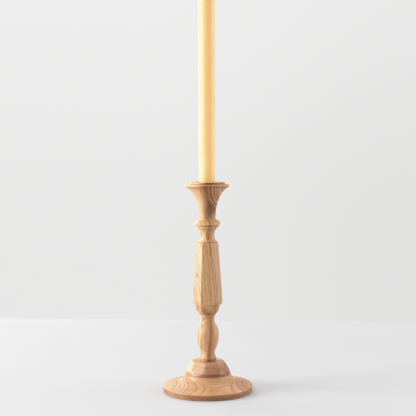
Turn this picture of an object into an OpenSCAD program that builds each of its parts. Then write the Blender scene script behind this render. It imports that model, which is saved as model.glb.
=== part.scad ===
// Turned wooden candlestick holding a tall straight candle.
// Five wooden sections stand on one another along +Z: a round foot, a knop with eight flats,
// a baluster with a faceted bowl, an octagonal column with a neck and a ring, and a flared cup.
// Millimetres. The origin is on the table, under the middle of the foot. -Y is the front.

/* [Foot] */
// Diameter of the foot disc
foot_d = 118; // [112:0.2:124]
// Height of the foot at its middle, where the knop stands
foot_h = 22.5; // [21:0.5:25]
// Slope of the foot's upper face, in degrees
foot_slope = 14.5; // [12:0.5:16]
// Radius of the hollow between the foot's upper face and the knop
foot_cove_r = 14; // [12:0.5:15]
// Diameter of the foot's middle, under the knop
boss_d = 60.8; // [60:0.2:63]
// Rounding of the rim's upper edge
rim_round = 1.6; // [0.8:0.2:2.4]

/* [Knop] */
// Height of the knop above the foot
knop_h = 17; // [15:0.5:18]
// Diameter of the knop at its base
knop_d = 58.8; // [58:0.2:60]
// Radius of the turned bulge round the knop's lower half
knop_bulge_r = 19.6; // [18:0.2:22]
// Width across the flats at the knop's top
knop_top_w = 41.2; // [39:0.2:43]
// Lean of the eight flats, in degrees from upright
knop_lean = 31; // [29:0.5:32]
// Turn of the knop, in degrees, from an arris facing the front
knop_turn = -4.8; // [-22.5:0.1:22.5]

/* [Lower stem] */
// Height of the lower stem above the knop
lower_stem_h = 76.7; // [76:0.1:77.5]
// Diameter of the round base of the stem
ankle_d = 22; // [20:0.5:24]
// Narrowest diameter below the belly
waist_d = 18.2; // [17.2:0.2:19]
// Diameter of the belly
belly_d = 29.9; // [28:0.1:31]
// Narrowest diameter above the belly
throat_d = 17.5; // [17:0.1:18.4]
// Height of the belly above the knop
belly_z = 34; // [33:0.5:35]
// Radius of the ball that the bowl is turned to
bowl_r = 17.4; // [17:0.1:17.8]
// Width across the flats at the bowl's top
bowl_top_w = 32.5; // [31.5:0.1:33]
// Lean of the bowl's flats, in degrees from upright
bowl_lean = 12.5; // [11:0.5:15]
// Turn of the bowl's flats, in degrees, from the column's flats
bowl_turn = -7.8; // [-22.5:0.1:22.5]

/* [Upper stem] */
// Length of the octagonal column
column_h = 81; // [76:1:86]
// Width across the flats at the column's foot
column_foot_w = 38.5; // [37:0.1:39.4]
// Width across the flats at the column's top
column_top_w = 28.2; // [27:0.1:29]
// Diameter of the collar on top of the column
collar_d = 24.6; // [23.8:0.2:25]
// Narrowest diameter of the neck
neck_d = 18.7; // [18:0.1:19.6]
// Height of the ring's widest line above the column
ring_z = 24.5; // [24:0.1:25]
// Diameter of the ring
ring_d = 34.9; // [34:0.1:36]

/* [Cup] */
// Height of the cup above the ring
cup_h = 47.6; // [46:0.2:50]
// Diameter of the cup's rim
rim_d = 57.9; // [57:0.1:59]
// Outer diameter of the raised lip
lip_d = 46.1; // [45:0.1:47]
// Height of the lip above the rim
lip_h = 2.8; // [2:0.1:3.2]
// Depth of the dish inside the lip
dish_depth = 3; // [2:0.1:3.4]
// Diameter of the socket that takes the candle
socket_d = 22.2; // [21.6:0.1:22.6]
// Depth of the socket below the dish
socket_depth = 23.8; // [22:0.1:24.4]

/* [Candle] */
// Length of the candle
candle_l = 300; // [200:10:350]
// Diameter of the candle
candle_d = 22.2; // [21.6:0.1:22.4]
// Diameter of the candle's foot, in the socket
candle_foot_d = 20.4; // [20:0.1:21]
// Length of the candle's tapered foot
candle_foot_l = 56; // [40:1:70]
// Diameter of the wick
wick_d = 1.8; // [1.4:0.1:2.4]
// Length of wick that stands out of the tip
wick_out = 11; // [6:1:15]

/* [Joinery] */
// Diameter of the dowel under the cup
cup_dowel_d = 8; // [6:1:8]
// Diameter of the dowel between the stems
stem_dowel_d = 10; // [8:1:10]
// Length of both dowels
dowel_l = 30; // [24:2:30]
// Diameter of the tenon under the lower stem
tenon_d = 16; // [14:1:18]
// Diameter of the spigot under the knop
spigot_d = 28; // [24:1:32]
// Thread diameter of the screw
screw_d = 5; // [4:0.5:5]
// Length of the screw under its head
screw_l = 60; // [50:5:60]
// Diameter of the felt pad
pad_d = 100; // [80:2:106]
// Thickness of the felt pad
pad_t = 3; // [2:0.5:3]
// Height that the pad stands proud of the foot
pad_proud = 0.4; // [0.3:0.1:1.5]

/* [Hidden] */
$fn = 96;

// Heights of the joints between the sections
knop_z = foot_h;
lower_z = knop_z + knop_h;
upper_z = lower_z + lower_stem_h;
ring_top = 31.4;                                // from the column's top to the ring's top
cup_z = upper_z + column_h + ring_top;
top_z = cup_z + cup_h;
dish_z = top_z - dish_depth;
seat_z = dish_z - socket_depth;

// Gaps and small edges
glue_gap = 0.05;                                // round a dowel, a tenon or a spigot
end_gap = 0.5;                                  // past the end of a dowel or a tenon
edge = 0.4;                                     // small chamfer
wick_gap = 0.05;                                // round the wick
pad_gap = 0.2;                                  // round the felt pad

// Screw, washer and the hole that they sit in
screw_play = 0.25;
screw_root_r = screw_d * 0.34;
screw_pitch = 2.2;
screw_plain = 18;                               // plain shank under the head
screw_tip = 5;
head_r = 4.7;
head_h = 3;
washer_r = 6;
washer_t = 1;
counterbore_r = 6.5;
counterbore_top = pad_t + 5;
head_z = counterbore_top - washer_t;            // underside of the washer
spigot_h = 5;
tenon_h = 9.5;

// Chamfers at the octagonal column's foot and top: how tall they are and how far they go in
column_chamfer_h = 2.8;
column_chamfer = 0.25;
shoulder_h = 0.9;
shoulder = 0.55;

// Arc from p to q, without p. Going up, a positive radius swells out and a negative one is hollow.
function arc_to(p, q, r, steps) =
    let (run = q - p, chord = norm(run),
         reach = sign(r) * sqrt(r * r - chord * chord / 4),
         centre = (p + q) / 2 + reach * [-run[1], run[0]] / chord,
         start = atan2(p[1] - centre[1], p[0] - centre[0]),
         turn = sign(r) * 2 * asin(chord / 2 / abs(r)))
    [for (i = [1:steps]) centre + abs(r) * [cos(start + turn * i / steps), sin(start + turn * i / steps)]];

// Outline from a path of [radius, height] points; a third value is the radius of the arc to that point.
function outline(path, steps = 8) =
    [for (i = [0:len(path) - 1])
        each len(path[i]) < 3 ? [path[i]]
            : arc_to([path[i - 1][0], path[i - 1][1]], [path[i][0], path[i][1]], path[i][2], steps)];

module turned(path, steps = 8) {
    rotate_extrude() polygon(outline(path, steps));
}

// Solid with eight flats. Each level is [half the width across the flats, height].
module eight_flats(levels) {
    left_side = [for (i = [len(levels) - 1:-1:0]) [-levels[i][0], levels[i][1]]];
    intersection_for (k = [0:3])
        rotate([0, 0, 45 * k])
            rotate([90, 0, 0])
                linear_extrude(height = 4 * levels[0][0], center = true)
                    polygon(concat(levels, left_side));
}

module bore(r, z0, z1) {
    translate([0, 0, z0]) cylinder(r = r, h = z1 - z0);
}

// Round disc, raised in the middle, with a recess for the felt underneath.
module foot() {
    foot_r = foot_d / 2;
    cove_over = 3.6;                            // cove's centre above the joint
    cove = [boss_d / 2 + sqrt(pow(foot_cove_r, 2) - pow(cove_over, 2)), foot_h + cove_over];
    cove_end = cove - foot_cove_r * [sin(foot_slope), cos(foot_slope)];
    rim_end_r = foot_r - rim_round * (1 - sin(foot_slope));
    rim_end_z = cove_end[1] - (rim_end_r - cove_end[0]) * tan(foot_slope);
    rim_start_z = rim_end_z - rim_round * cos(foot_slope);
    color([0.80, 0.60, 0.42]) difference() {
        turned([[0, pad_proud],
                [foot_r - edge, pad_proud],
                [foot_r, pad_proud + edge],
                [foot_r, rim_start_z],
                [rim_end_r, rim_end_z, rim_round],
                cove_end,
                [boss_d / 2, foot_h, -foot_cove_r],
                [0, foot_h]], steps = 12);
        bore(pad_d / 2 + pad_gap, -1, pad_t);
        bore(counterbore_r, -1, counterbore_top);
        bore(screw_d / 2 + screw_play, -1, foot_h + 1);
        bore(spigot_d / 2 + glue_gap, foot_h - spigot_h - glue_gap, foot_h + 1);
    }
}

// Turned dome cut by eight flats that run out in its bulge, with a spigot below.
module knop() {
    knop_r = knop_d / 2;
    top_half = knop_top_w / 2;
    bulge_top = 9.3;                            // where the bulge ends
    bulge_top_r = knop_r - knop_bulge_r + sqrt(pow(knop_bulge_r, 2) - pow(bulge_top, 2));
    crown_r = top_half / cos(22.5) + 0.35;       // just outside the flats' corners
    crown_edge = 0.3;
    color([0.78, 0.57, 0.39]) difference() {
        union() {
            translate([0, 0, knop_z]) rotate([0, 0, knop_turn + 22.5]) intersection() {
                turned([[0, 0],
                        [knop_r, 0],
                        [bulge_top_r, bulge_top, knop_bulge_r],
                        [crown_r, knop_h - crown_edge],
                        [crown_r - edge, knop_h],
                        [0, knop_h]], steps = 12);
                eight_flats([[top_half + (knop_h + 1) * tan(knop_lean), -1],
                             [top_half + edge * tan(knop_lean), knop_h - edge],
                             [top_half - edge, knop_h],
                             [top_half - edge, knop_h + 1]]);
            }
            bore(spigot_d / 2, knop_z - spigot_h, knop_z + 1);
        }
        bore(screw_d / 2 + screw_play, 0, lower_z + 1);
        bore(tenon_d / 2 + glue_gap, lower_z - tenon_h - end_gap, lower_z + 1);
    }
}

// Radius of the hollow that is tangent to a belly and narrowest at a throat.
function hollow_r(belly, round, throat, rise) =
    let (drop = throat - belly + round)
    (round * round - drop * drop - rise * rise) / (2 * (drop - round));

// Point where that hollow meets the belly's round.
function hollow_point(belly, round, throat, rise, hollow, up) =
    [belly - round, 0] + round / (round + hollow) * [throat + hollow - belly + round, up * rise];

// Baluster with a tenon below and a faceted bowl above.
module lower_stem() {
    belly_r = belly_d / 2;
    ankle_top = 4.6;
    waist_rise = 23.2;
    throat_rise = 21.2;
    low_round = 38;
    high_round = 27;
    low_hollow = hollow_r(belly_r, low_round, waist_d / 2, waist_rise);
    high_hollow = hollow_r(belly_r, high_round, throat_d / 2, throat_rise);
    low_meet = [0, belly_z] + hollow_point(belly_r, low_round, waist_d / 2, waist_rise, low_hollow, -1);
    high_meet = [0, belly_z] + hollow_point(belly_r, high_round, throat_d / 2, throat_rise, high_hollow, 1);
    groove_z = 63;                              // the groove under the bowl
    groove_r = 10.7;
    flare_r = 11.3;
    bowl_z = 64.3;
    bowl_edge = 0.5;                            // undercut of the bowl's lower edge
    ball_z = lower_stem_h - 0.2;                // centre of the ball that the bowl is turned to
    bowl_foot_r = sqrt(pow(bowl_r, 2) - pow(ball_z - bowl_z, 2));
    ball_top_r = sqrt(pow(bowl_r, 2) - pow(ball_z - lower_stem_h, 2));
    bowl_half = bowl_top_w / 2;
    color([0.82, 0.63, 0.43]) difference() {
        translate([0, 0, lower_z]) union() {
            turned([[0, 0],
                    [ankle_d / 2, 0],
                    [ankle_d / 2, ankle_top],
                    [waist_d / 2, belly_z - waist_rise, -low_hollow],
                    concat(low_meet, -low_hollow),
                    [belly_r, belly_z, low_round],
                    concat(high_meet, high_round),
                    [throat_d / 2, belly_z + throat_rise, -high_hollow],
                    [flare_r, groove_z - 0.1, -high_hollow],
                    [groove_r, groove_z],
                    [groove_r, bowl_z + 1],
                    [0, bowl_z + 1]]);
            rotate([0, 0, bowl_turn]) intersection() {
                turned([[0, bowl_z - bowl_edge],
                        [bowl_foot_r - bowl_edge, bowl_z - bowl_edge],
                        [bowl_foot_r, bowl_z],
                        [ball_top_r, lower_stem_h, bowl_r],
                        [0, lower_stem_h]], steps = 14);
                eight_flats([[bowl_half - (lower_stem_h - bowl_z + 1) * tan(bowl_lean), bowl_z - 1],
                             [bowl_half, lower_stem_h],
                             [bowl_half, lower_stem_h + 1]]);
            }
            bore(tenon_d / 2, -tenon_h, 1);
        }
        bore(screw_d / 2 + glue_gap, 0, head_z + screw_l + 1);
        bore(stem_dowel_d / 2 + glue_gap, upper_z - dowel_l / 2 - end_gap, upper_z + 1);
    }
}

// Tapering octagonal column, then a collar, a hollow neck, a fillet and a ring, all from one piece.
module upper_stem() {
    column_top = upper_z + column_h;
    collar_r = collar_d / 2;
    neck_r = neck_d / 2;
    ring_r = ring_d / 2;
    neck_z = 10.3;
    neck_foot_r = neck_r + 1.1;
    neck_top_r = neck_r + 3.27;
    fillet_z = 18.4;
    fillet_r = ring_r - 3.1;
    fillet_edge = 0.6;
    fillet_rise = 0.9;                          // the fillet widens by this much up to the groove
    groove_z = 21.5;
    groove_r = fillet_r + 0.4;
    groove_h = 0.4;
    ring_under_r = ring_r - 1.9;
    ring_edge_r = ring_r - 0.35;
    seat_r = 11;
    seat_h = 1.1;                               // the short seat under the cup
    color([0.88, 0.74, 0.52]) difference() {
        union() {
            translate([0, 0, upper_z])
                eight_flats([[column_foot_w / 2 - column_chamfer, 0],
                             [column_foot_w / 2, column_chamfer_h],
                             [column_top_w / 2, column_h - shoulder_h],
                             [column_top_w / 2 - shoulder, column_h]]);
            translate([0, 0, column_top])
                turned([[0, -1],
                        [collar_r, -1],
                        [collar_r, 1],
                        [collar_r - 0.9, 2, 1.2],
                        [neck_foot_r, 3.2],
                        [neck_r, neck_z, -21],
                        [neck_top_r, fillet_z, -11.7],
                        [fillet_r, fillet_z + fillet_edge],
                        [fillet_r + fillet_rise, groove_z - 0.2],
                        [groove_r, groove_z],
                        [groove_r, groove_z + groove_h],
                        [ring_under_r, groove_z + groove_h + 0.3],
                        [ring_edge_r, ring_z - 0.8],
                        [ring_edge_r, ring_z + 0.6, 0.95],
                        [seat_r + 0.3, ring_top - seat_h - 0.3, 8],
                        [seat_r, ring_top - seat_h],
                        [seat_r - 0.1, ring_top],
                        [0, ring_top]]);
        }
        bore(stem_dowel_d / 2 + glue_gap, upper_z - 1, upper_z + dowel_l / 2 + end_gap);
        bore(cup_dowel_d / 2 + glue_gap, cup_z - dowel_l / 2 - end_gap, cup_z + 1);
    }
}

// Flared cup: its side is a quarter of an ellipse, its rim a half round, with a raised lip inside it.
module candle_cup() {
    rim_r = rim_d / 2;
    lip_r = lip_d / 2;
    lip_wall = 1.9;
    lip_in_r = lip_r - lip_wall;
    lip_round = 0.5;
    dish_round = 2;
    bottom_r = 10.7;
    flare_z = 0.9;                              // end of the straight part
    flare_w = 22.6;                             // the ellipse's two half axes
    flare_h = 41;
    flare_end = 0.965;                          // share of the ellipse's height that is used
    rim_z = cup_h - lip_h;
    rim_t = 3.5;
    cup_rim_round = 2;
    flare = [for (i = [0:24]) let (t = asin(flare_end) * i / 24)
             [bottom_r + flare_w * (1 - cos(t)), flare_z + flare_h * sin(t)]];
    dish_floor = cup_h - dish_depth;
    color([0.66, 0.45, 0.27]) difference() {
        translate([0, 0, cup_z]) rotate_extrude() polygon(concat(
            [[0, 0], [bottom_r, 0]],
            flare,
            outline([[rim_r - 1, rim_z - rim_t],
                     [rim_r - 0.85, rim_z - 0.3, cup_rim_round],
                     [rim_r - 1.6, rim_z],
                     [lip_r, rim_z + 0.3],
                     [lip_r, cup_h - lip_round],
                     [lip_r - lip_round, cup_h, lip_round],
                     [lip_in_r + lip_round, cup_h],
                     [lip_in_r, cup_h - lip_round, lip_round],
                     [lip_in_r - dish_round, dish_floor, -dish_round],
                     [0, dish_floor]])));
        bore(socket_d / 2, seat_z, top_z + 1);
        translate([0, 0, dish_z - edge])
            cylinder(r1 = socket_d / 2, r2 = socket_d / 2 + 2 * edge, h = 2 * edge);
        bore(cup_dowel_d / 2 + glue_gap, cup_z - 1, cup_z + dowel_l / 2 + end_gap);
    }
}

// Straight candle with a tapered foot and a rounded cone at its tip.
module candle() {
    candle_r = candle_d / 2;
    foot_r = candle_foot_d / 2;
    tip_h = 24;
    tip_r = 1.6;
    tip_round = 38;
    color([0.96, 0.83, 0.52]) difference() {
        translate([0, 0, seat_z])
            turned([[0, 0],
                    [foot_r - edge, 0],
                    [foot_r, edge],
                    [foot_r, candle_foot_l / 2],
                    [candle_r, candle_foot_l],
                    [candle_r, candle_l - tip_h],
                    [tip_r, candle_l, tip_round],
                    [0, candle_l]], steps = 10);
        bore(wick_d / 2 + wick_gap, seat_z - 1, seat_z + candle_l + 1);
    }
}

module wick() {
    color([0.95, 0.93, 0.86])
        bore(wick_d / 2, seat_z, seat_z + candle_l + wick_out);
}

// Hardwood dowel with chamfered ends and glue flutes.
module dowel(d, z) {
    r = d / 2;
    chamfer = 0.8;
    flutes = 16;
    flute_r = 0.35;
    translate([0, 0, z - dowel_l / 2]) difference() {
        turned([[0, 0],
                [r - chamfer, 0],
                [r, chamfer],
                [r, dowel_l - chamfer],
                [r - chamfer, dowel_l],
                [0, dowel_l]]);
        for (i = [0:flutes - 1])
            rotate([0, 0, 360 / flutes * i])
                translate([r, 0, -1]) cylinder(r = flute_r, h = dowel_l + 2, $fn = 16);
    }
}

module cup_dowel() {
    color([0.86, 0.72, 0.52]) dowel(cup_dowel_d, cup_z);
}

module stem_dowel() {
    color([0.84, 0.70, 0.50]) dowel(stem_dowel_d, upper_z);
}

// Pan-head wood screw with a cross recess. The thread is drawn as rings.
module base_screw() {
    thread_r = screw_d / 2;
    turns = floor((screw_l - screw_plain - screw_tip) / screw_pitch);
    thread = [for (i = [0:turns - 1]) each
              [[screw_root_r, screw_plain + i * screw_pitch],
               [thread_r, screw_plain + (i + 0.42) * screw_pitch],
               [thread_r, screw_plain + (i + 0.5) * screw_pitch],
               [screw_root_r, screw_plain + (i + 0.7) * screw_pitch]]];
    dome = 1.8;                                 // the head's rounded edge
    dome_r = 1.9;
    neck_r = screw_root_r + 0.5;
    point_r = 0.15;
    recess_w = 1.1;
    recess_l = 5;
    recess_depth = 1.9;
    color([0.72, 0.72, 0.70]) translate([0, 0, head_z]) difference() {
        rotate_extrude() polygon(concat(
            outline([[0, -head_h],
                     [head_r - dome, -head_h],
                     [head_r, -head_h + dome, dome_r],
                     [head_r, 0],
                     [neck_r, 0],
                     [neck_r, screw_plain - 1]]),
            thread,
            [[screw_root_r, screw_l - screw_tip], [point_r, screw_l], [0, screw_l]]));
        for (turn = [0, 90])
            rotate([0, 0, turn])
                translate([-recess_l / 2, -recess_w / 2, -head_h - 1])
                    cube([recess_l, recess_w, recess_depth + 1]);
    }
}

module screw_washer() {
    color([0.75, 0.75, 0.73]) difference() {
        bore(washer_r, head_z, counterbore_top);
        bore(screw_d / 2 + screw_play, head_z - 1, counterbore_top + 1);
    }
}

module felt_pad() {
    color([0.26, 0.24, 0.22]) bore(pad_d / 2, 0, pad_t);
}

foot();
knop();
lower_stem();
upper_stem();
candle_cup();
candle();
wick();
cup_dowel();
stem_dowel();
base_screw();
screw_washer();
felt_pad();
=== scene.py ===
"""Looks of the wooden candlestick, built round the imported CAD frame.

The wooden sections, the candle and the felt are turned in mesh code on the CAD model's own outlines,
with softened edges and a slightly uneven surface. Outlines and the woods' patterns are in millimetres.
Meshes, lights and the camera are in metres.
"""

import math

import bpy
import numpy as np
from mathutils import Matrix, Vector, noise


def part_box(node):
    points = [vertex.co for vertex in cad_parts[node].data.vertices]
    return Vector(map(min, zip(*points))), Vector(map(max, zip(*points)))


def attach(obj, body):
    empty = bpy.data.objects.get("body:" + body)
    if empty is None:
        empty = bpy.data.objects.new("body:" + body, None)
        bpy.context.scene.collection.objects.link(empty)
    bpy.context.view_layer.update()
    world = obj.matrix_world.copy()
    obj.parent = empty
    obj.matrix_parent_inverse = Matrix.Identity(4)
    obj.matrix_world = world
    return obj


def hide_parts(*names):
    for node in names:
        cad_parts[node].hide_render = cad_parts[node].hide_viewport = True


MM = 0.001
STAND = "candlestick"
CANDLE = "loose_candle"

# The knop, the bowl and the column have eight flats, each over a sector of a whole turn
FLATS = 8
SECTOR = 360 / FLATS
CORNER = SECTOR / 2

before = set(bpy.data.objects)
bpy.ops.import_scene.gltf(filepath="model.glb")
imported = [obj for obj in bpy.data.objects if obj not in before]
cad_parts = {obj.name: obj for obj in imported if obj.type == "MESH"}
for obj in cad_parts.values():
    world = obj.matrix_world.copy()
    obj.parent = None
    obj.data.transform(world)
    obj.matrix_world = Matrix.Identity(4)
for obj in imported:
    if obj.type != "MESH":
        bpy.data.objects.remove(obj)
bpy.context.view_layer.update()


def low(node):
    """Lowest corner of a CAD node, in millimetres."""
    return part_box(node)[0] / MM


def high(node):
    """Highest corner of a CAD node, in millimetres."""
    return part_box(node)[1] / MM


# Heights of the joints between the sections, from the frame
KNOP_Z = high("foot").z
LOWER_Z = high("knop").z
UPPER_Z = high("lower_stem").z
CUP_Z = high("upper_stem").z
TOP_Z = high("candle_cup").z
SEAT_Z = low("candle").z

# Height of the column's flats, above which the upper stem is turned round
COLUMN_H = 81.0

# Joinery, as in the CAD model
SCREW_HOLE_R = 2.75
PILOT_R = 2.55
COUNTERBORE_R = 6.5
SPIGOT_R = 14.0
SPIGOT_H = 5.0
TENON_R = 8.0
TENON_H = 9.5
TENON_HOLE_H = 10.0
GLUE_GAP = 0.05
DOWEL_HOLE_H = 15.5

# Radius of the small disc that closes a hole on the axis
HOLE_END_R = 0.3

# Scales of the woods' patterns, in cycles per millimetre
BEND_SCALE = 0.03
RIPPLE_SCALE = 0.35
RING_DRIFT_SCALE = 0.16
RING_STRENGTH_SCALE = 0.12
TONE_SCALE = 0.05
FIBRE_SCALE = 1.6
PORE_SCALE = 1.5
TOOL_MARK_SCALE = 1.8

# Depths of the woods' relief, in metres
RING_DEPTH = 0.00003
TOOL_MARK_DEPTH = 0.0001
FIBRE_DEPTH = 0.00006
PORE_DEPTH = 0.00007


# ---------------------------------------------------------------- outlines

def arc_to(p, q, radius, steps):
    """Points of an arc from p to q, without p.

    On an outline that goes up, a positive radius swells and a negative one is hollow.
    """
    p, q = np.array(p, float), np.array(q, float)
    run = q - p
    chord = np.linalg.norm(run)
    reach = math.copysign(math.sqrt(radius * radius - chord * chord / 4), radius)
    centre = (p + q) / 2 + reach * np.array([-run[1], run[0]]) / chord
    start = math.atan2(p[1] - centre[1], p[0] - centre[0])
    turn = math.copysign(2 * math.asin(chord / 2 / abs(radius)), radius)
    angles = [start + turn * i / steps for i in range(1, steps + 1)]
    return [centre + abs(radius) * np.array([math.cos(a), math.sin(a)]) for a in angles]


def outline(path, base=0.0, steps=12):
    """Outline from a path of (radius, height) points, with base added to each height.

    A third value in a point is the radius of the arc that leads to it.
    """
    points = []
    for i, point in enumerate(path):
        if len(point) == 3:
            points += arc_to(path[i - 1][:2], point[:2], point[2], steps)
        else:
            points.append(np.array(point, float))
    return [p + [0, base] for p in points]


def softened(points, radius=0.35, sharp=14):
    """The outline with each corner of more than sharp degrees rounded."""
    most_of_side = 0.45
    out = [points[0]]
    for before, corner, after in zip(points, points[1:], points[2:]):
        a, b = before - corner, after - corner
        la, lb = np.linalg.norm(a), np.linalg.norm(b)
        turn = math.pi - math.acos(np.clip(a @ b / (la * lb), -1, 1))
        if math.degrees(turn) < sharp:
            out.append(corner)
            continue
        back = min(radius * math.tan(turn / 2), most_of_side * la, most_of_side * lb)
        start, end = corner + a / la * back, corner + b / lb * back
        for t in (0, 0.25, 0.5, 0.75, 1):
            out.append((1 - t) ** 2 * start + 2 * t * (1 - t) * corner + t * t * end)
    out.append(points[-1])
    return out


# ---------------------------------------------------------------- rings of points round the axis

class Turning:
    """A solid of rings round the Z axis, which can be cut to eight flats with rounded arrises.

    flat_turn is the angle of one flat's middle in degrees from +X, or None for a round piece. typical is
    the distance of the flats at which columns of points fall exactly on the ends of the arrises.
    """

    def __init__(self, columns=192, flat_turn=None, arris=0.45, typical=17.0):
        self.rings = []
        self.arris = arris
        if flat_turn is None:
            self.angles = np.radians(np.arange(columns) * 360 / columns)
            self.off = np.zeros(columns)
            return
        across_flat, across_arris = 19, 7
        end = math.degrees(math.atan((typical - arris) * math.tan(math.radians(CORNER)) / typical))
        flat = np.linspace(-end, end, across_flat)
        edge = np.linspace(end, SECTOR - end, across_arris)[1:-1]
        sector = np.concatenate([flat, edge])
        self.angles = np.radians(np.concatenate([sector + SECTOR * k for k in range(FLATS)]) + flat_turn)
        offset = np.where(sector > CORNER, sector - SECTOR, sector)
        self.off = np.radians(np.tile(offset, FLATS))

    def octagon(self, half):
        """Radius at each column of eight flats at that distance, with rounded arrises."""
        corner = math.radians(CORNER)
        centre = (half - self.arris) / math.cos(corner)
        aside = corner - np.abs(self.off)
        tangent = corner - math.atan(centre * math.sin(corner) / half)
        arc = centre * np.cos(aside) + np.sqrt(
            np.maximum(self.arris ** 2 - (centre * np.sin(aside)) ** 2, 0))
        return np.where(aside > tangent, half / np.cos(self.off), arc)

    def ring(self, radius, z):
        """Adds a level ring, with one radius for all columns or a radius for each."""
        self.rings.append((np.broadcast_to(radius, self.angles.shape).astype(float), z))

    def follow(self, points, half_at=None, blend=0.6):
        """Rings along an outline, cut to the flats whose distance half_at gives for each height.

        Where the cut is shallower than blend, its edge is eased into the turned surface.
        """
        for r, z in points:
            if half_at is None:
                self.ring(r, z)
                continue
            flat = self.octagon(half_at(z))
            overlap = np.clip(blend - np.abs(flat - r), 0, None) / blend
            self.ring(np.minimum(flat, r) - overlap ** 2 * blend / 4, z)

    def filled(self, step):
        """The rings with more put between those that lie far apart."""
        out = [self.rings[0]]
        for (r0, z0), (r1, z1) in zip(self.rings, self.rings[1:]):
            gap = max(np.abs(r1 - r0).max(), abs(z1 - z0))
            parts = max(1, math.ceil(gap / step))
            for i in range(1, parts + 1):
                t = i / parts
                out.append((r0 * (1 - t) + r1 * t, z0 * (1 - t) + z1 * t))
        return out

    def build(self, name, closed=False, step=0.9, uneven=0.04, seed=0.0):
        """The mesh object. closed joins the last ring to the first. Otherwise a face closes each end.

        uneven is about how far sanding has taken the surface in from its outline.
        """
        if closed:
            self.rings.append(self.rings[0])
        rings = self.filled(step)
        if closed:
            rings.pop()
        radius = np.array([r for r, z in rings])
        height = np.array([np.full(len(self.angles), z) for r, z in rings])
        points = np.stack([radius * np.cos(self.angles), radius * np.sin(self.angles), height], axis=2)
        rows, columns = radius.shape
        smallest = 2.0
        for i in range(rows):
            for j in range(columns):
                push = uneven * sanding(*points[i, j], seed)
                points[i, j, :2] *= 1 + push / max(radius[i, j], smallest)
        faces = []
        for i in range(rows if closed else rows - 1):
            a, b = i * columns, (i + 1) % rows * columns
            for j in range(columns):
                k = (j + 1) % columns
                faces.append((a + j, a + k, b + k, b + j))
        verts = points.reshape(-1, 3)
        if not closed:
            faces.append(tuple(reversed(range(columns))))
            faces.append(tuple((rows - 1) * columns + j for j in range(columns)))
        made = mesh_object(name, verts * MM, faces)
        add_curvature(made, points, closed)
        return made


def sanding(x, y, z, seed):
    """Where a sanded surface lies, as a share of its unevenness. Below 0 is inside the outline."""
    drift_round, drift_up = 0.09, 0.05
    ripple_round, ripple_up = 0.4, 0.16
    taken_off = 0.6
    drift = noise.noise(Vector((x * drift_round + seed, y * drift_round, z * drift_up)))
    ripple = noise.noise(Vector((x * ripple_round, y * ripple_round + seed, z * ripple_up)))
    return 0.8 * drift + 0.25 * ripple - taken_off


def mesh_object(name, verts, faces):
    """A smooth-shaded object whose larger faces weigh more in its normals."""
    mesh = bpy.data.meshes.new(name)
    mesh.from_pydata([tuple(v) for v in verts], [], faces)
    mesh.validate()
    mesh.shade_smooth()
    made = bpy.data.objects.new(name, mesh)
    bpy.context.scene.collection.objects.link(made)
    modifier = made.modifiers.new("face_weighted_normals", "WEIGHTED_NORMAL")
    modifier.weight = 80
    return made


def add_curvature(made, points, closed):
    """Stores how sharply each point of a turning bends, from -1 in a groove to 1 on an edge.

    Bends are curvatures in 1/mm, averaged over neighbouring points. full is the one stored as 1.
    """
    full = 2.5
    tiny = 1e-6
    up = np.roll(points, -1, axis=0)
    down = np.roll(points, 1, axis=0)
    if not closed:
        up[-1] = points[-1]
        down[0] = points[0]
    left = np.roll(points, 1, axis=1)
    right = np.roll(points, -1, axis=1)

    def length(vectors):
        return np.linalg.norm(vectors, axis=2)[..., None]

    def bend(a, b):
        """Curvature from the sagitta: how far a point stands off the chord between its neighbours."""
        to_a, to_b = length(a - points), length(b - points)
        sagitta = points - (a * to_b + b * to_a) / (to_b + to_a + tiny)
        return 8 * sagitta / (length(b - a) + tiny) ** 2

    normal = np.cross(right - left, up - down)
    normal /= length(normal) + 1e-9
    curve = (bend(down, up) * normal).sum(axis=2) + (bend(left, right) * normal).sum(axis=2)
    for _ in range(2):
        curve = (2 * curve + np.roll(curve, 1, 0) + np.roll(curve, -1, 0)) / 4
        curve = (2 * curve + np.roll(curve, 1, 1) + np.roll(curve, -1, 1)) / 4
    value = np.clip(curve / full, -1, 1).astype(np.float32).ravel()
    made.data.attributes.new("edge", "FLOAT", "POINT").data.foreach_set("value", value)


# ---------------------------------------------------------------- the wooden sections

def make_foot():
    """Round disc, raised in the middle, with a recess for the felt and the screw underneath."""
    foot_r = high("foot").x
    bottom = low("foot").z
    slope = math.radians(14.5)
    cove_r, cove_over, rim, bevel = 14.0, 3.6, 1.6, 0.4
    boss_r = 30.4
    recess_r = high("felt_pad").x + 0.2
    cove = np.array([boss_r + math.sqrt(cove_r ** 2 - cove_over ** 2), KNOP_Z + cove_over])
    cove_end = cove - cove_r * np.array([math.sin(slope), math.cos(slope)])
    rim_end_r = foot_r - rim * (1 - math.sin(slope))
    rim_end_z = cove_end[1] - (rim_end_r - cove_end[0]) * math.tan(slope)
    pad_top = high("felt_pad").z
    counterbore_top = high("screw_washer").z
    path = [(SCREW_HOLE_R, counterbore_top),
            (COUNTERBORE_R, counterbore_top),
            (COUNTERBORE_R, pad_top),
            (recess_r, pad_top),
            (recess_r, bottom),
            (foot_r - bevel, bottom),
            (foot_r, bottom + bevel),
            (foot_r, rim_end_z - rim * math.cos(slope)),
            (rim_end_r, rim_end_z, rim),
            tuple(cove_end),
            (boss_r, KNOP_Z, -cove_r),
            (SPIGOT_R + GLUE_GAP, KNOP_Z),
            (SPIGOT_R + GLUE_GAP, KNOP_Z - SPIGOT_H - GLUE_GAP),
            (SCREW_HOLE_R, KNOP_Z - SPIGOT_H - GLUE_GAP)]
    turning = Turning(columns=288)
    turning.follow(softened(outline(path)))
    return turning.build("wooden_foot", closed=True, step=1.2, seed=3.1)


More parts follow.
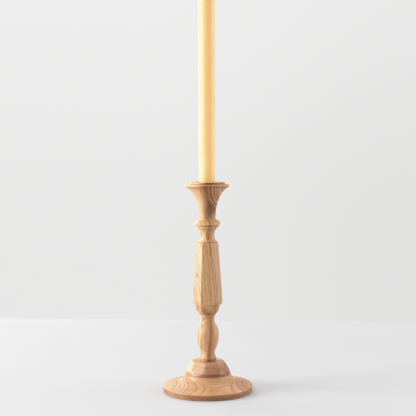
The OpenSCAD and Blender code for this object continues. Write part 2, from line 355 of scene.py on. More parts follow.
def make_knop():
    """Turned dome cut by eight leaning flats that run out in its bulge."""
    height = LOWER_Z - KNOP_Z
    lean = math.tan(math.radians(31))
    flat_turn = CORNER - 4.8
    top_half = 20.6
    bulge_r, bulge_top = 19.6, 9.3
    bevel = 0.3
    knop_r = high("knop").x
    bulge_top_r = knop_r - bulge_r + math.sqrt(bulge_r ** 2 - bulge_top ** 2)
    crown_r = top_half / math.cos(math.radians(CORNER)) + 0.35
    under = [(SCREW_HOLE_R, -SPIGOT_H), (SPIGOT_R, -SPIGOT_H), (SPIGOT_R, 0), (knop_r - bevel, 0)]
    side = [(knop_r - bevel, 0),
            (knop_r, bevel),
            (bulge_top_r, bulge_top, bulge_r),
            (crown_r, height - bevel)]
    hole = [(TENON_R + GLUE_GAP, height),
            (TENON_R + GLUE_GAP, height - TENON_HOLE_H),
            (SCREW_HOLE_R, height - TENON_HOLE_H)]

    def half_at(z):
        return top_half + (LOWER_Z - z) * lean

    turning = Turning(flat_turn=flat_turn, typical=24.0, arris=0.6)
    turning.follow(softened(outline(under, KNOP_Z)))
    body = [p for p in outline(side, KNOP_Z, steps=40) if p[1] < LOWER_Z - 0.5]
    turning.follow(body[1:] + [np.array([crown_r, LOWER_Z - 0.45])], half_at)
    # The rounded edge of the top
    for inward, down in ((0.02, 0.26), (0.2, 0.1), (0.45, 0.02), (0.8, 0.0)):
        turning.ring(turning.octagon(top_half - inward), LOWER_Z - down)
    turning.follow(softened(outline(hole, KNOP_Z)))
    return turning.build("faceted_knop", closed=True, step=0.8, seed=7.7)


def hollow_between(belly, swell, throat, rise, up):
    """Radius of the hollow that runs tangent from a belly to a throat, and the point where they meet."""
    drop = throat - belly + swell
    hollow = (swell ** 2 - drop ** 2 - rise ** 2) / (2 * (drop - swell))
    meet = np.array([belly - swell, 0.0])
    meet = meet + swell / (swell + hollow) * np.array([throat + hollow - belly + swell, up * rise])
    return hollow, meet


def make_lower_stem():
    """Baluster with a tenon below and a faceted bowl above."""
    height = UPPER_Z - LOWER_Z
    belly_r, belly_z = 14.95, 34.0
    waist_r, waist_rise = 9.1, 23.2
    throat_r, throat_rise = 8.75, 21.2
    low_swell, high_swell = 38, 27
    low_hollow, low_meet = hollow_between(belly_r, low_swell, waist_r, waist_rise, -1)
    high_hollow, high_meet = hollow_between(belly_r, high_swell, throat_r, throat_rise, 1)
    ankle_r, ankle_h = 11, 4.6
    groove_z, groove_r, flare_r = 63.0, 10.7, 11.3
    bowl_z, ball_r, ball_z = 64.3, 17.4, height - 0.2
    bowl_foot_r = math.sqrt(ball_r ** 2 - (ball_z - bowl_z) ** 2)
    ball_top_r = math.sqrt(ball_r ** 2 - (ball_z - height) ** 2)
    bowl_half, lean = 16.25, math.tan(math.radians(12.5))
    screw_top = high("base_screw").z + 1 - LOWER_Z
    stem = [(PILOT_R, screw_top),
            (PILOT_R, -TENON_H),
            (TENON_R, -TENON_H),
            (TENON_R, 0),
            (ankle_r, 0),
            (ankle_r, ankle_h),
            (waist_r, belly_z - waist_rise, -low_hollow),
            (low_meet[0], belly_z + low_meet[1], -low_hollow),
            (belly_r, belly_z, low_swell),
            (high_meet[0], belly_z + high_meet[1], high_swell),
            (throat_r, belly_z + throat_rise, -high_hollow),
            (flare_r, groove_z - 0.1, -high_hollow),
            (groove_r, groove_z),
            (groove_r, bowl_z - 0.4),
            (bowl_foot_r - 0.6, bowl_z - 0.4),
            (bowl_foot_r, bowl_z)]
    bowl = [(bowl_foot_r, bowl_z), (ball_top_r, height - 0.3, ball_r)]

    def half_at(z):
        return bowl_half - (UPPER_Z - z) * lean

    turning = Turning(flat_turn=-7.8, typical=15.5, arris=0.5)
    turning.ring(HOLE_END_R, LOWER_Z + screw_top)
    turning.follow(softened(outline(stem, LOWER_Z, steps=16), radius=0.3))
    turning.follow(outline(bowl, LOWER_Z, steps=30)[1:], half_at)
    for inward, down in ((0.3, 0.08), (0.8, 0.0)):
        cut = np.minimum(turning.octagon(bowl_half - inward), ball_top_r - inward)
        turning.ring(cut, UPPER_Z - down)
    hole_r = high("stem_dowel").x + GLUE_GAP
    turning.follow([(hole_r, UPPER_Z), (hole_r, UPPER_Z - DOWEL_HOLE_H)])
    turning.ring(HOLE_END_R, UPPER_Z - DOWEL_HOLE_H)
    return turning.build("lower_stem_baluster", step=0.8, seed=11.3)


def make_upper_stem():
    """Tapering octagonal column, then a collar, a hollow neck, a fillet and a ring, all one piece."""
    column_top = UPPER_Z + COLUMN_H
    foot_half, top_half = 19.25, 14.1
    ring_r, ring_z, ring_top = 17.45, 24.5, 31.4
    neck_r, neck_z, collar_r, seat_r = 9.35, 10.3, 12.3, 11.0
    fillet_r, fillet_z, groove_z = ring_r - 3.1, 18.4, 21.5
    groove_r = fillet_r + 0.4
    turned = [(collar_r, 0.0),
              (collar_r, 1.0),
              (collar_r - 0.9, 2, 1.2),
              (neck_r + 1.1, 3.2),
              (neck_r, neck_z, -21),
              (neck_r + 3.27, fillet_z, -11.7),
              (fillet_r, fillet_z + 0.6),
              (fillet_r + 0.9, groove_z - 0.2),
              (groove_r, groove_z),
              (groove_r, groove_z + 0.4),
              (ring_r - 1.9, groove_z + 0.7),
              (ring_r - 0.35, ring_z - 0.8),
              (ring_r - 0.3, ring_z + 0.6, 0.95),
              (seat_r + 0.3, ring_top - 1.4, 8),
              (seat_r, ring_top - 1.1),
              (seat_r - 0.1, ring_top),
              (high("cup_dowel").x + GLUE_GAP, ring_top),
              (high("cup_dowel").x + GLUE_GAP, ring_top - DOWEL_HOLE_H)]
    turning = Turning(flat_turn=0.0, typical=16.5, arris=0.4)
    hole_r = high("stem_dowel").x + GLUE_GAP
    turning.ring(HOLE_END_R, UPPER_Z + DOWEL_HOLE_H)
    turning.follow([(hole_r, UPPER_Z + DOWEL_HOLE_H), (hole_r, UPPER_Z)])
    # The column's flats, from its foot to its top, with both edges rounded
    for half, z in ((foot_half - 0.75, 0), (foot_half - 0.4, 0.05), (foot_half - 0.28, 0.25),
                    (foot_half - 0.05, 2.5), (foot_half, 3.0)):
        turning.ring(turning.octagon(half), UPPER_Z + z)
    for half, z in ((top_half, -1.2), (top_half - 0.08, -0.8), (top_half - 0.4, -0.15),
                    (top_half - 0.6, 0), (collar_r + 0.7, 0)):
        turning.ring(turning.octagon(half), column_top + z)
    turning.follow(softened(outline(turned, column_top), radius=0.3))
    turning.ring(HOLE_END_R, CUP_Z - DOWEL_HOLE_H)
    return turning.build("upper_stem_column", step=0.9, seed=19.9)


def make_cup():
    """Flared cup with a half round rim, a raised lip, a dish and the candle's socket."""
    height = TOP_Z - CUP_Z
    rim_r, lip_r, lip_h = 28.95, 23.05, 2.8
    lip_in_r, dish_depth, bevel = 21.15, 3.0, 0.5
    bottom_r, flare_z, flare_w, flare_h = 10.7, 0.9, 22.6, 41.0
    flare_steps, flare_end = 40, math.asin(0.965)
    rim_z = height - lip_h
    socket_r = 11.1
    hole_r = high("cup_dowel").x + GLUE_GAP
    start = [(hole_r, DOWEL_HOLE_H), (hole_r, 0), (bottom_r, 0), (bottom_r, flare_z)]
    flare = []
    for i in range(1, flare_steps + 1):
        t = flare_end * i / flare_steps
        flare.append((bottom_r + flare_w * (1 - math.cos(t)), flare_z + flare_h * math.sin(t)))
    top = [(rim_r - 1, rim_z - 3.5),
           (rim_r - 0.85, rim_z - 0.3, 2),
           (rim_r - 1.6, rim_z),
           (lip_r, rim_z + 0.3),
           (lip_r, height - bevel),
           (lip_r - bevel, height, bevel),
           (lip_in_r + bevel, height),
           (lip_in_r, height - bevel, bevel),
           (lip_in_r - 2, height - dish_depth, -2),
           (socket_r + 0.4, height - dish_depth),
           (socket_r, height - dish_depth - 0.4),
           (socket_r, SEAT_Z - CUP_Z)]
    turning = Turning(columns=240)
    turning.ring(HOLE_END_R, CUP_Z + DOWEL_HOLE_H)
    turning.follow(softened(outline(start + flare + top, CUP_Z), radius=0.3))
    turning.ring(HOLE_END_R, SEAT_Z)
    return turning.build("flared_candle_cup", step=0.8, seed=23.5)


# ---------------------------------------------------------------- candle, wick and felt

def make_candle():
    """Straight candle with a tapered foot and a rounded cone at its tip."""
    length = high("candle").z - SEAT_Z
    candle_r, tip_h, tip_r = 11.1, 24.0, 1.6
    foot_r, foot_h, taper_h, bevel = 10.2, 28, 56, 0.4
    wick_r = high("wick").x + GLUE_GAP
    path = [(wick_r, 0),
            (foot_r - bevel, 0),
            (foot_r, bevel),
            (foot_r, foot_h),
            (candle_r, taper_h),
            (candle_r, length - tip_h),
            (tip_r, length, 38),
            (wick_r, length - 0.5)]
    turning = Turning(columns=128)
    turning.follow(softened(outline(path, SEAT_Z, steps=24), radius=0.5))
    return turning.build("tapered_candle", closed=True, step=2.0, uneven=0.06, seed=31.0)


def strand(centres, radius, sides=8):
    """Verts and faces of a tube along a list of centres, each with a level ring of points round it."""
    verts, faces = [], []
    for x, y, z in centres:
        for k in range(sides):
            a = 2 * math.pi * k / sides
            verts.append((x + radius * math.cos(a), y + radius * math.sin(a), z))
    for i in range(len(centres) - 1):
        for k in range(sides):
            m = (k + 1) % sides
            faces.append((i * sides + k, i * sides + m, (i + 1) * sides + m, (i + 1) * sides + k))
    faces.append(tuple(reversed(range(sides))))
    faces.append(tuple((len(centres) - 1) * sides + k for k in range(sides)))
    return verts, faces


def make_wick():
    """Three cotton strands twisted round one another, the length of the candle and out of its tip."""
    strand_count, strand_r = 3, 0.44
    pitch, steps_per_turn = 5.0, 16
    swing = high("wick").x - strand_r - 0.01
    bottom, top = low("wick").z, high("wick").z
    steps = int((top - bottom) / pitch * steps_per_turn)
    verts, faces = [], []
    for s in range(strand_count):
        centres = []
        for i in range(steps + 1):
            z = bottom + (top - bottom) * i / steps
            a = 2 * math.pi * (z / pitch + s / strand_count)
            centres.append((swing * math.cos(a), swing * math.sin(a), z))
        more, sides = strand(centres, strand_r)
        faces += [tuple(v + len(verts) for v in face) for face in sides]
        verts += more
    return mesh_object("plaited_wick", np.array(verts) * MM, faces)


def make_felt():
    """Felt disc under the foot, with a soft, slightly ragged edge."""
    edge_r, top = high("felt_pad").x - 0.15, high("felt_pad").z - 0.05
    face_r, middle_r = high("felt_pad").x - 0.7, 0.5
    path = [(middle_r, 0.0),
            (face_r, 0.0),
            (edge_r, 0.6),
            (edge_r, top - 0.65),
            (face_r, top),
            (middle_r, top)]
    turning = Turning(columns=288)
    turning.follow(softened(outline(path), radius=0.8))
    return turning.build("felt_base_pad", step=1.6, uneven=0.12, seed=41.0)


# ---------------------------------------------------------------- materials

class Tree:
    """The node tree of a material or a world, with short calls for the nodes that are used here."""

    def __init__(self, owner):
        owner.use_nodes = True
        self.owner = owner
        self.nodes = owner.node_tree.nodes
        self.links = owner.node_tree.links

    def shade(self, **inputs):
        """Sets inputs of the surface shader, each to a number, a colour or another node's output."""
        for key, value in inputs.items():
            self.put(value, self.nodes["Principled BSDF"].inputs[key.replace("_", " ")])

    def put(self, value, socket):
        """Sets an input to a value, or links another node's output to it."""
        if isinstance(value, bpy.types.NodeSocket):
            self.links.new(value, socket)
        else:
            socket.default_value = value

    def add(self, kind, settings=None, output=0, **inputs):
        """A new node's output. Each input is named with _ for a space."""
        made = self.nodes.new(kind)
        for key, value in (settings or {}).items():
            setattr(made, key, value)
        for key, value in inputs.items():
            self.put(value, made.inputs[key.replace("_", " ")])
        return made.outputs[output]

    def math(self, operation, a, b=0.0):
        made = self.nodes.new("ShaderNodeMath")
        made.operation = operation
        self.put(a, made.inputs[0])
        self.put(b, made.inputs[1])
        return made.outputs[0]

    def vector(self, operation, a, b=(0, 0, 0), output=0):
        made = self.nodes.new("ShaderNodeVectorMath")
        made.operation = operation
        self.put(a, made.inputs[0])
        self.put(b, made.inputs[1])
        return made.outputs[output]

    def place(self):
        """Position on the piece, in metres in the row frame at rest."""
        return self.add("ShaderNodeTexCoord", output="Object")

    def place_mm(self):
        """The same position in millimetres."""
        return self.vector("MULTIPLY", self.place(), (1000, 1000, 1000))

    def distance(self, place, centre=None):
        """Distance between two points, or the length of a vector."""
        if centre is not None:
            place = self.vector("SUBTRACT", place, centre)
        return self.vector("LENGTH", place, output="Value")

    def swing(self, colour, reach):
        """A noise's colour as a vector that swings both ways about zero."""
        return self.vector("MULTIPLY", self.vector("SUBTRACT", colour, (0.5, 0.5, 0.5)), reach)

    def noise(self, vector, scale, detail=2.0, rough=0.5, output="Fac"):
        return self.add("ShaderNodeTexNoise", output=output, Vector=vector, Scale=scale,
                        Detail=detail, Roughness=rough)

    def line_noise(self, w, scale, detail=1.0):
        """Noise that depends on one number only."""
        settings = {"noise_dimensions": "1D"}
        return self.add("ShaderNodeTexNoise", settings, W=w, Scale=scale, Detail=detail)

    def remap(self, value, low_in, high_in, low_out=0.0, high_out=1.0, smooth=False):
        """The value taken from one range to another and held at its ends, which smooth eases."""
        made = self.nodes.new("ShaderNodeMapRange")
        made.interpolation_type = "SMOOTHSTEP" if smooth else "LINEAR"
        for socket, number in zip(range(1, 5), (low_in, high_in, low_out, high_out)):
            made.inputs[socket].default_value = number
        self.put(value, made.inputs[0])
        return made.outputs[0]

    def ramp(self, value, stops):
        """A grey that runs through stops, each a position from 0 to 1 and a grey."""
        made = self.nodes.new("ShaderNodeValToRGB")
        ramp = made.color_ramp
        while len(ramp.elements) < len(stops):
            ramp.elements.new(0.5)
        for element, (position, grey) in zip(ramp.elements, stops):
            element.position = position
            element.color = (grey, grey, grey, 1)
        self.put(value, made.inputs[0])
        return made.outputs[0]

    def mix(self, share, a, b, blend="MIX"):
        """Colour a with that share of colour b in it."""
        made = self.nodes.new("ShaderNodeMix")
        made.data_type = "RGBA"
        made.blend_type = blend
        self.put(share, made.inputs[0])
        self.put(a, made.inputs[6])
        self.put(b, made.inputs[7])
        return made.outputs[2]

    def bump(self, height, depth, normal=None):
        """A normal for a relief of that depth in metres, on top of another relief's normal if given."""
        under = {} if normal is None else {"Normal": normal}
        return self.add("ShaderNodeBump", Strength=1.0, Distance=depth, Height=height, **under)


def rgb(red, green, blue):
    """Linear colour from sRGB numbers between 0 and 255."""
    def linear(v):
        v /= 255
        return v / 12.92 if v < 0.04045 else ((v + 0.055) / 1.055) ** 2.4
    return (linear(red), linear(green), linear(blue), 1.0)


def grain_matrix(along, towards_pith):
    """Rotation into the tree's own axes: Z along the grain, X towards the pith."""
    z = Vector(along).normalized()
    x = Vector(towards_pith)
    x = (x - x.dot(z) * z).normalized()
    return Matrix((x, z.cross(x), z))


def ring_distance(tree, place, warped, knots, waves):
    """Distance from the pith, as knots and waves change it, and the share of each knot's core."""
    distance = tree.distance(tree.vector("MULTIPLY", warped, (1, 1, 0)))
    cores = []
    for centre, reach, strength in knots:
        away = tree.distance(place, centre)
        near = tree.remap(away, 0.0, 4 * reach, 1.0, 0.0, smooth=True)
        distance = tree.math("ADD", distance, tree.math("MULTIPLY", near, 2.2 * reach))
        cores.append(tree.remap(away, 0.3 * reach, 2.2 * reach, strength, 0.0, smooth=True))
    for centre, reach, rise in waves:
        push = tree.remap(tree.distance(place, centre), 0.0, reach, rise, 0.0, smooth=True)
        distance = tree.math("ADD", distance, push)
    return distance, cores


def growth_rings(tree, distance, stretched, spacing, contrast):
    """Strength of the late wood, and the phase in the year's ring, from 0 to 1.

    Each ring is pale early wood that darkens slowly, then drops at the next ring.
    """
    drift = tree.math("SUBTRACT", tree.line_noise(distance, RING_DRIFT_SCALE), 0.5)
    count = tree.math("ADD", tree.math("DIVIDE", distance, spacing), tree.math("MULTIPLY", drift, 2.2))
    phase = tree.math("FRACT", count)
    ring = tree.ramp(phase, ((0.0, 0.5), (0.12, 0.03), (0.4, 0.1), (0.66, 0.4), (0.88, 1.0), (1.0, 0.8)))
    one_dimension = {"noise_dimensions": "1D"}
    vigour = tree.add("ShaderNodeTexWhiteNoise", one_dimension, W=tree.math("FLOOR", count))
    vigour = tree.remap(vigour, 0, 1, 0.4 * contrast, contrast)
    patchy = tree.remap(tree.noise(stretched, RING_STRENGTH_SCALE), 0.3, 0.6, 0.5, 1.1)
    return tree.math("MULTIPLY", ring, tree.math("MULTIPLY", vigour, patchy)), phase


def shaded_and_worn_colour(tree, colour, height, shade_bands, early, dark):
    """The colour with painted shade on the turned bands and in the grooves, and with edges paled partly
    by wear and partly as a painted highlight.
    """
    # Painted shade: each band darkens the wood between two heights, where less light reaches
    for bottom, top, soft, strength in shade_bands:
        over = tree.remap(height, bottom - soft, bottom + soft, 0.0, strength, smooth=True)
        under = tree.remap(height, top - soft, top + soft, 1.0, 0.0, smooth=True)
        colour = tree.mix(tree.math("MULTIPLY", over, under), colour, dark)
    edge = tree.add("ShaderNodeAttribute", {"attribute_name": "edge"}, output="Fac")
    # Arrises are paled partly by wear and partly as a painted highlight
    pale = tuple(min(1.0, c * 1.3) for c in early[:3]) + (1,)
    colour = tree.mix(tree.remap(edge, 0.1, 0.8, 0.0, 0.35), colour, pale)
    # Grooves are darkened as painted shade
    return tree.mix(tree.remap(edge, -0.7, -0.08, 0.6, 0.0), colour, dark)


def wood_relief(tree, place, height, ring, fibre, pore, lathe):
    """Normal for the relief of rings, tool marks, fibres and pores."""
    relief = tree.bump(ring, RING_DEPTH)
    if lathe:
        girth = tree.distance(tree.vector("MULTIPLY", place, (0.7, 0.7, 0)))
        marks = tree.line_noise(tree.math("ADD", height, girth), TOOL_MARK_SCALE, detail=2.0)
        relief = tree.bump(marks, TOOL_MARK_DEPTH * lathe, normal=relief)
    relief = tree.bump(fibre, FIBRE_DEPTH, normal=relief)
    return tree.bump(tree.math("SUBTRACT", 1.0, pore), PORE_DEPTH, normal=relief)


def wood(name, early, late, along, pith, spacing, warp=4.0, contrast=1.0, broad=0.4, heart=None,
         streak=None, shade_bands=(), shade_patches=(), knots=(), waves=(), lathe=0.0, gloss=0.0, seed=0.0):
    """Solid wood, cut from a tree whose pith passes through a point, in millimetres, in the row frame.

    early and late are the colours of early and late wood. along is the direction of the grain.
    Rings lie spacing apart on average, warp is how far they stray, contrast is their strength and
    broad is the strength of broad changes of tone. heart is the radius of the darker heartwood, the
    softness of its edge, its strength and how much fainter the rings are outside it. streak is a
    distance from the pith, a width and a strength. Each shade band is a low and a high end, the
    softness of both and a strength: the wood is darker between them, as painted shade. Each shade
    patch is a point, a reach and a strength: the wood is darker round it, as painted shade. Each knot
    is a point, a radius and a strength. Each wave is a point, a reach and the rise, which is added to
    the distance from the pith round the point and so bends the rings there. lathe is the strength of
    the fine marks that turning leaves round the Z axis, and gloss is how much smoother the surface is
    than plain sanded wood.
    """
    tree = Tree(bpy.data.materials.new(name))
    turn = grain_matrix(along, pith)
    place = tree.place_mm()
    grained = tree.add("ShaderNodeMapping", {"vector_type": "POINT"}, Vector=place,
                       Location=-(turn @ Vector(pith)), Rotation=turn.to_euler("XYZ"))
    slow = tree.vector("ADD", tree.vector("MULTIPLY", grained, (1, 1, 0.4)), (seed, seed * 2, seed * 3))
    stretched = tree.vector("MULTIPLY", grained, (1, 1, 0.12))
    bend = tree.noise(slow, BEND_SCALE, detail=1.0, output="Color")
    ripple = tree.noise(stretched, RIPPLE_SCALE, output="Color")
    warped = tree.vector("ADD", grained, tree.swing(bend, (2 * warp, 2 * warp, 0)))
    warped = tree.vector("ADD", warped, tree.swing(ripple, (0.7, 0.7, 0)))
    distance, cores = ring_distance(tree, place, warped, knots, waves)
    ring, phase = growth_rings(tree, distance, stretched, spacing, contrast)
    if heart:
        radius, soft, depth, calm = heart
        inside = tree.remap(distance, radius - soft, radius + soft, 1.0, 0.0, smooth=True)
        ring = tree.math("MULTIPLY", ring, tree.remap(inside, 0.0, 1.0, 1.0 - calm, 1.0))

    # Fibres and pores, both long and fine, and broad changes of tone
    along_fibres = tree.vector("MULTIPLY", warped, (1, 1, 0.03))
    fibre = tree.noise(along_fibres, FIBRE_SCALE, detail=3.0, rough=0.6)
    along_pores = tree.vector("MULTIPLY", warped, (PORE_SCALE, PORE_SCALE, 0.16))
    cells = tree.add("ShaderNodeTexVoronoi", output="Distance", Scale=1.0, Vector=along_pores)
    pore = tree.remap(cells, 0.1, 0.2, 1.0, 0.0, smooth=True)
    pore = tree.math("MULTIPLY", pore, tree.remap(phase, 0.05, 0.6, 1.0, 0.25))
    tone = tree.noise(tree.vector("MULTIPLY", slow, (1, 1, 0.4)), TONE_SCALE)

    # Colours: the tones and the figure first, then the fibres and the pores
    dark = tuple(c * s for c, s in zip(late, (0.5, 0.36, 0.24))) + (1,)
    colour = tree.mix(tree.remap(tone, 0.35, 0.7, 0.0, broad), early, tree.mix(0.6, early, late))
    if heart:
        colour = tree.mix(tree.math("MULTIPLY", inside, depth), colour, late)
    colour = tree.mix(ring, colour, late)
    # Painted shade: each patch darkens the wood round a point on a side turned from the light
    for centre, reach, strength in shade_patches:
        near = tree.remap(tree.distance(place, centre), 0.2 * reach, reach, strength, 0.0, smooth=True)
        colour = tree.mix(near, colour, tree.mix(0.5, late, dark))
    if streak:
        at, width, strength = streak
        off = tree.math("ABSOLUTE", tree.math("SUBTRACT", distance, at))
        band = tree.remap(off, 0.1 * width, width, strength, 0.0, smooth=True)
        band = tree.math("MULTIPLY", band, tree.remap(fibre, 0.3, 0.6, 0.6, 1.0))
        colour = tree.mix(band, colour, tree.mix(0.7, dark, late))
    for core in cores:
        colour = tree.mix(core, colour, late)
    shade = tree.remap(fibre, 0.28, 0.72, 0.8, 1.12)
    grey = tree.add("ShaderNodeCombineColor", Red=shade, Green=shade, Blue=shade)
    colour = tree.mix(1.0, colour, grey, "MULTIPLY")
    colour = tree.mix(tree.math("MULTIPLY", pore, 0.45), colour, dark)

    height = tree.add("ShaderNodeSeparateXYZ", output=2, Vector=place)
    colour = shaded_and_worn_colour(tree, colour, height, shade_bands, early, dark)

    # Gloss and relief
    rough = tree.remap(fibre, 0.25, 0.75, 0.4 - gloss, 0.5 - gloss)
    rough = tree.math("SUBTRACT", rough, tree.math("MULTIPLY", ring, 0.05))
    rough = tree.math("ADD", rough, tree.math("MULTIPLY", pore, 0.12))
    relief = wood_relief(tree, place, height, ring, fibre, pore, lathe)
    tree.shade(Base_Color=colour, Roughness=rough, Normal=relief, IOR=1.55)
    return tree.owner


def wax(name):
    """Smooth, faintly clouded beeswax. A trace of glow stands for light that comes through it."""
    tree = Tree(bpy.data.materials.new(name))
    place = tree.place_mm()
    cloud = tree.noise(tree.vector("MULTIPLY", place, (1, 1, 0.25)), 0.06, detail=3.0)
    rub = tree.noise(tree.vector("MULTIPLY", place, (1, 1, 0.1)), 0.5, detail=4.0)
    relief = tree.bump(tree.noise(place, 0.08, detail=1.0), 0.0001)
    tree.shade(Base_Color=tree.mix(tree.remap(cloud, 0.3, 0.7), rgb(255, 203, 162), rgb(255, 199, 156)),
               Subsurface_Weight=1.0,
               Subsurface_Radius=(1.4, 0.7, 0.2),
               Subsurface_Scale=0.03,
               Emission_Color=(1.0, 0.72, 0.36, 1),
               Emission_Strength=0.14,
               Specular_IOR_Level=0.4,
               IOR=1.5,
               Roughness=tree.remap(rub, 0.3, 0.7, 0.38, 0.5),
               Normal=tree.bump(rub, 0.00002, normal=relief))
    return tree.owner


def cotton(name):
    """Waxed cotton strands, with fine fibres along each one."""
    tree = Tree(bpy.data.materials.new(name))
    fibre = tree.noise(tree.vector("MULTIPLY", tree.place_mm(), (6, 6, 1.5)), 1.0, detail=3.0)
    tree.shade(Base_Color=tree.mix(tree.remap(fibre, 0.3, 0.7), rgb(214, 204, 182), rgb(242, 236, 220)),
               Roughness=0.8,
               Sheen_Weight=0.3,
               Normal=tree.bump(fibre, 0.00008))
    return tree.owner


def felt(name):
    """Pressed wool felt, with short tangled fibres and a faint mottle."""
    tree = Tree(bpy.data.materials.new(name))
    place = tree.place_mm()
    tangle = tree.noise(place, 1.6, detail=5.0, rough=0.65)
    mottle = tree.noise(place, 0.15)
    colour = tree.mix(tree.remap(tangle, 0.3, 0.7), rgb(58, 52, 46), rgb(96, 88, 78))
    tree.shade(Base_Color=tree.mix(tree.remap(mottle, 0.4, 0.8, 0.0, 0.4), colour, rgb(74, 66, 58)),
               Roughness=0.95,
               Sheen_Weight=0.5,
               Normal=tree.bump(tangle, 0.0004))
    return tree.owner


def zinc_steel(name):
    """Zinc-plated steel, slightly clouded, with faint marks round the axis."""
    tree = Tree(bpy.data.materials.new(name))
    place = tree.place_mm()
    spangle = tree.noise(place, 0.7)
    marks = tree.noise(tree.vector("MULTIPLY", place, (8, 8, 40)), 0.3, detail=3.0)
    spangle = tree.remap(spangle, 0.3, 0.7)
    tree.shade(Base_Color=tree.mix(spangle, rgb(196, 198, 200), rgb(176, 178, 178)),
               Metallic=1.0,
               Roughness=tree.remap(marks, 0.3, 0.7, 0.26, 0.42),
               Normal=tree.bump(marks, 0.00002))
    return tree.owner


# ---------------------------------------------------------------- studio

def make_stage():
    """A pale table that ends behind the object, against the world's plain pale wall."""
    back, wide, front = 0.518, 1.1, 1.1
    # Just below the felt's lower face, so that the two don't coincide
    top = -0.0001
    verts = [(-wide, -front, top), (wide, -front, top), (wide, back, top), (-wide, back, top)]
    mesh = bpy.data.meshes.new("pale_table")
    mesh.from_pydata(verts, [], [(0, 1, 2, 3)])
    table = bpy.data.objects.new("pale_table", mesh)
    bpy.context.scene.collection.objects.link(table)
    tree = Tree(bpy.data.materials.new("pale_table"))
    cloud = tree.remap(tree.noise(tree.place(), 5.0, detail=4.0), 0.3, 0.7)
    tree.shade(Base_Color=tree.mix(cloud, (0.595, 0.6, 0.612, 1), (0.62, 0.622, 0.636, 1)),
               Roughness=0.75)
    mesh.materials.append(tree.owner)


def area_light(name, place, aim, size, power):
    """A rectangle of light that faces the point aim."""
    data = bpy.data.lights.new(name, "AREA")
    data.shape = "RECTANGLE"
    data.size, data.size_y = size
    data.energy = power
    made = bpy.data.objects.new(name, data)
    made.location = place
    made.rotation_euler = (Vector(aim) - Vector(place)).to_track_quat("-Z", "Y").to_euler()
    bpy.context.scene.collection.objects.link(made)


def make_light():
    """A window at the left, the wall's bounce and a weak fill from the right, powers in watts."""
    middle = (0, 0, 0.2)
    area_light("window", (-2.35, -0.6, 0.66), middle, (1.3, 1.2), 70)
    area_light("wall_bounce", (-1.0, 1.4, 0.8), middle, (1.4, 1.5), 12)
    area_light("fill", (1.9, 0.0, 0.6), middle, (1.4, 1.2), 16)


def make_room():
    """World that lights the object most from behind and above, and shows the camera a pale wall."""
    world = bpy.data.worlds.new("studio")
    tree = Tree(world)
    split = tree.nodes.new("ShaderNodeSeparateXYZ")
    tree.put(tree.add("ShaderNodeTexCoord", output="Generated"), split.inputs[0])
    x, y, z = split.outputs

    room = tree.math("ADD", tree.remap(y, -0.4, 0.4, 0.12, 0.58, smooth=True),
                     tree.remap(z, 0.3, 0.9, 0.0, 0.7, smooth=True))
    lit = tree.nodes["Background"]
    tree.put((1.0, 0.99, 0.975, 1), lit.inputs["Color"])
    tree.put(room, lit.inputs["Strength"])
    # The wall the camera sees is brighter at the left, on the window's side, and higher up: painted
    # light
    wall = tree.math("ADD", tree.remap(x, -0.14, 0.14, 0.07, 0.0, smooth=True),
                     tree.remap(z, -0.1, 0.2, 0.74, 0.84, smooth=True))
    seen = tree.add("ShaderNodeBackground", Color=(1.0, 0.99, 0.985, 1), Strength=wall)

    either = tree.nodes.new("ShaderNodeMixShader")
    tree.put(tree.add("ShaderNodeLightPath", output="Is Camera Ray"), either.inputs[0])
    tree.put(lit.outputs[0], either.inputs[1])
    tree.put(seen, either.inputs[2])
    tree.put(either.outputs[0], tree.nodes["World Output"].inputs["Surface"])
    bpy.context.scene.world = world


def make_camera():
    """85 mm lens, a little higher than the cup and looking slightly down."""
    azimuth, aside = math.radians(4.2), math.radians(-0.037)
    pitch, roll = math.radians(3.679), math.radians(-0.2)
    away, height = 1.2866, 0.32478
    data = bpy.data.cameras.new("camera")
    data.lens = 85
    data.sensor_width = 36
    made = bpy.data.objects.new("camera", data)
    made.location = (away * math.sin(azimuth), -away * math.cos(azimuth), height)
    turn = Matrix.Rotation(azimuth + aside, 4, "Z") @ Matrix.Rotation(math.pi / 2 - pitch, 4, "X")
    made.rotation_euler = (turn @ Matrix.Rotation(roll, 4, "Z")).to_euler()
    bpy.context.scene.collection.objects.link(made)
    bpy.context.scene.camera = made


# ---------------------------------------------------------------- assembly

def set_tones():
    """Camera tones: slightly deeper shadows, and a soft shoulder where the light is strongest."""
    view = bpy.context.scene.view_settings
    view.view_transform = "Standard"
    view.use_curve_mapping = True
    mapping = view.curve_mapping
    brightest = 2.0
    mapping.clip_max_x = brightest
    curve = mapping.curves[3]
    curve.points[1].location = (brightest, 1.0)
    tones = ((0.07, 0.05), (0.25, 0.23), (0.55, 0.56), (0.85, 0.835), (1.2, 0.945), (1.6, 0.98))
    for light, tone in tones:
        curve.points.new(light, tone)
    mapping.update()


def finish_piece(made, material, node, body):
    """Gives a piece its material and body, and puts it in a CAD node's place."""
    made.data.materials.append(material)
    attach(made, body)
    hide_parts(node)


def repaint(node, material):
    """Gives a CAD node that stays a better material."""
    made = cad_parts[node]
    made.data.materials.clear()
    made.data.materials.append(material)


make_camera()
make_stage()
make_light()
make_room()
set_tones()

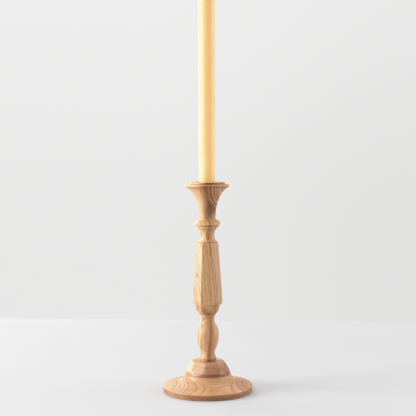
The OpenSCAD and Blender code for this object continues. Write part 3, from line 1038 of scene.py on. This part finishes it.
# The figure that faces the camera is placed like the photo's: arcs and a saddle on the foot, a dark
# streak up the baluster, a small knot on the column and curved heartwood at the right of the cup
# The bands and patches below darken the wood as painted shade, where sides and undersides get less light
foot_wood = wood("foot_wood", rgb(219, 174, 135), rgb(154, 96, 52),
                 along=(1, 0, -0.07), pith=(0, 6, -215), spacing=1.9, warp=2.6, contrast=1.35,
                 heart=(230.5, 5.0, 0.0, 0.5),
                 shade_bands=[(-1, 6.6, 0.7, 0.43)],
                 waves=[((-46, -16, 8), 66, -10.0), ((62, -2, 8), 44, -10.0)],
                 lathe=0.5, seed=2.0)
knop_wood = wood("knop_wood", rgb(238, 190, 154), rgb(140, 84, 46),
                 along=(1, 0.1, -0.05), pith=(0, 0, -150), spacing=2.5, warp=4.5, contrast=0.55,
                 shade_bands=[(KNOP_Z, KNOP_Z + 4.5, 2.0, 0.5)],
                 shade_patches=[((18, -24, 24), 36, 0.45), ((28, -6, 30), 14, 0.35)],
                 knots=[((19, -17, 31), 3.2, 0.3)],
                 gloss=0.08, seed=5.0)
stem_wood = wood("stem_wood", rgb(232, 187, 143), rgb(152, 102, 56),
                 along=(0.06, 0, 1), pith=(90, 10, 76), spacing=3.0, warp=4.6, contrast=0.85, broad=0.55,
                 streak=(87, 3.0, 0.62),
                 shade_bands=[(LOWER_Z - 4, LOWER_Z + 3, 4, 0.5), (LOWER_Z + 68, UPPER_Z + 4, 4, 0.05)],
                 shade_patches=[((9, -8, 45), 14, 0.35), ((-3, -12, 74), 7, 0.2)],
                 knots=[((-2, -15, 107), 4.5, 0.75)],
                 lathe=0.6, seed=8.0)
column_wood = wood("column_wood", rgb(240, 197, 152), rgb(156, 104, 52),
                   along=(-0.05, 0, 1), pith=(57, 26, 190), spacing=2.6, warp=2.4, contrast=1.65,
                   heart=(66, 6, 0.03, 0.3),
                   streak=(65.5, 1.6, 0.4),
                   shade_bands=[(UPPER_Z - 4, UPPER_Z + COLUMN_H, 1.0, 0.1)],
                   knots=[((-14, -12, 155), 2.4, 0.8)],
                   lathe=0.3, gloss=0.06, seed=12.0)
cup_wood = wood("cup_wood", rgb(234, 185, 139), rgb(126, 74, 31),
                along=(0.1, 1, 0), pith=(40, 0, 262), spacing=3.2, warp=2.0, contrast=1.4, broad=0.3,
                heart=(43, 7, 0.25, 0.92),
                streak=(38, 7, 0.5),
                shade_bands=[(CUP_Z - 6, CUP_Z, 5.0, 0.5)],
                shade_patches=[((3, -11, 238), 15, 0.5)],
                lathe=0.8, gloss=0.06, seed=16.0)
dowel_wood = wood("dowel_wood", rgb(226, 194, 150), rgb(188, 150, 104),
                  along=(0, 0, 1), pith=(50, 20, 0), spacing=2.0, warp=2.0, seed=20.0)
steel = zinc_steel("zinc_steel")

finish_piece(make_foot(), foot_wood, "foot", STAND)
finish_piece(make_knop(), knop_wood, "knop", STAND)
finish_piece(make_lower_stem(), stem_wood, "lower_stem", STAND)
finish_piece(make_upper_stem(), column_wood, "upper_stem", STAND)
finish_piece(make_cup(), cup_wood, "candle_cup", STAND)
finish_piece(make_felt(), felt("wool_felt"), "felt_pad", STAND)
finish_piece(make_candle(), wax("beeswax"), "candle", CANDLE)
finish_piece(make_wick(), cotton("cotton"), "wick", CANDLE)
repaint("cup_dowel", dowel_wood)
repaint("stem_dowel", dowel_wood)
repaint("base_screw", steel)
repaint("screw_washer", steel)
